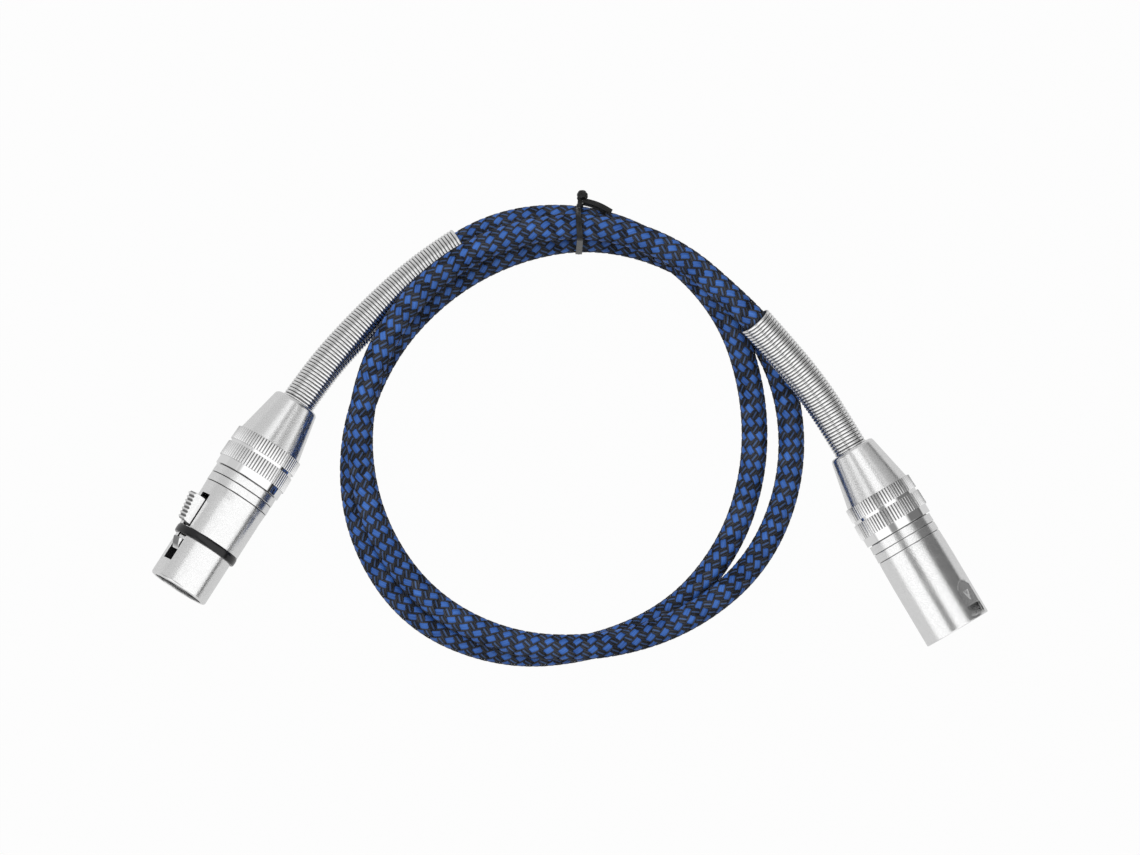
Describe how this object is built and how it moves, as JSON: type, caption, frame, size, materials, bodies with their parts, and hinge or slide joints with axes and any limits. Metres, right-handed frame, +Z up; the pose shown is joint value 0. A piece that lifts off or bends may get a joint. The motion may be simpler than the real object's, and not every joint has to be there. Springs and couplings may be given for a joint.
{
  "type": "microphone cable",
  "caption": "Braided microphone cable with metal three-pole connectors and spring strain reliefs, wound into a tied coil.",
  "frame": {"origin": "on the surface that the coil lies on, under the middle of the box round the two connectors, their springs and the tie", "axes": "+Z up, +X from the socket connector to the pin connector, +Y from the connectors towards the tie"},
  "size_m": [0.2116, 0.1213, 0.022],
  "materials": {
    "shell_metal": "satin nickel plate, bright, fine cast grain",
    "bushing_metal": "satin nickel plate with bright turned bands",
    "spring_metal": "bright plated spring wire",
    "contact_metal": "silver-plated brass",
    "o_ring_rubber": "smooth black rubber, slight sheen",
    "insert_plastic": "moulded black plastic",
    "collet_plastic": "moulded natural plastic",
    "conductor_insulation": "insulated cores and screen",
    "braided_sleeve": "braided sleeve, blue floats between black yarns",
    "tie_plastic": "black plastic twist tie, glossy"
  },
  "bodies": {
    "root": {"female_shell": "shell_metal", "female_o_ring": "o_ring_rubber", "female_insert": "insert_plastic", "female_socket_1": "contact_metal", "female_socket_2": "contact_metal", "female_socket_3": "contact_metal", "latch_pivot_pin": "contact_metal", "latch_leaf_spring": "spring_metal", "female_collet": "collet_plastic", "female_tail_spring": "spring_metal", "female_conductors": "conductor_insulation", "male_shell": "shell_metal", "male_insert": "insert_plastic", "male_pin_1": "contact_metal", "male_pin_2": "contact_metal", "male_pin_3": "contact_metal", "male_collet": "collet_plastic", "male_tail_spring": "spring_metal", "male_conductors": "conductor_insulation", "cable_female_end": "braided_sleeve", "cable_first_turn": "braided_sleeve", "cable_second_turn": "braided_sleeve", "cable_male_end": "braided_sleeve", "twist_tie": "tie_plastic"},
    "latch": {"latch_lever": "shell_metal"},
    "female_washer": {"female_slip_washer": "collet_plastic"},
    "male_washer": {"male_slip_washer": "collet_plastic"},
    "female_bushing_body": {"female_bushing": "bushing_metal"},
    "male_bushing_body": {"male_bushing": "bushing_metal"}
  },
  "joints": [
    {"name": "latch_press", "type": "hinge", "parent": "root", "child": "latch", "pos_m": [-0.09254, -0.02336, 0.01518], "axis": [0.5503, -0.2816, 0.7861], "range_deg": [0, 5], "stiffness_Nm_per_rad": 0.05, "springref_deg": -5.73, "deforming": ["latch_leaf_spring"]},
    {"name": "female_bushing_travel", "type": "slide", "parent": "root", "child": "female_washer", "axis": [0.5316, 0.8441, -0.0698], "range_m": [0, 0.004]},
    {"name": "female_bushing_turn", "type": "hinge", "parent": "female_washer", "child": "female_bushing_body", "pos_m": [-0.07089, 0.00037, 0.00853], "axis": [0.5316, 0.8441, -0.0698], "range_deg": [0, 1445]},
    {"name": "male_bushing_travel", "type": "slide", "parent": "root", "child": "male_washer", "axis": [-0.5089, 0.8606, 0.0192], "range_m": [0, 0.004]},
    {"name": "male_bushing_turn", "type": "hinge", "parent": "male_washer", "child": "male_bushing_body", "pos_m": [0.07293, -0.01158, 0.00983], "axis": [-0.5089, 0.8606, 0.0192], "range_deg": [0, 1445]}
  ],
  "couplings": [
    {"joint": "female_bushing_turn", "follows": "female_bushing_travel", "rad_per_m": 6283.2},
    {"joint": "male_bushing_turn", "follows": "male_bushing_travel", "rad_per_m": 6283.2}
  ]
}
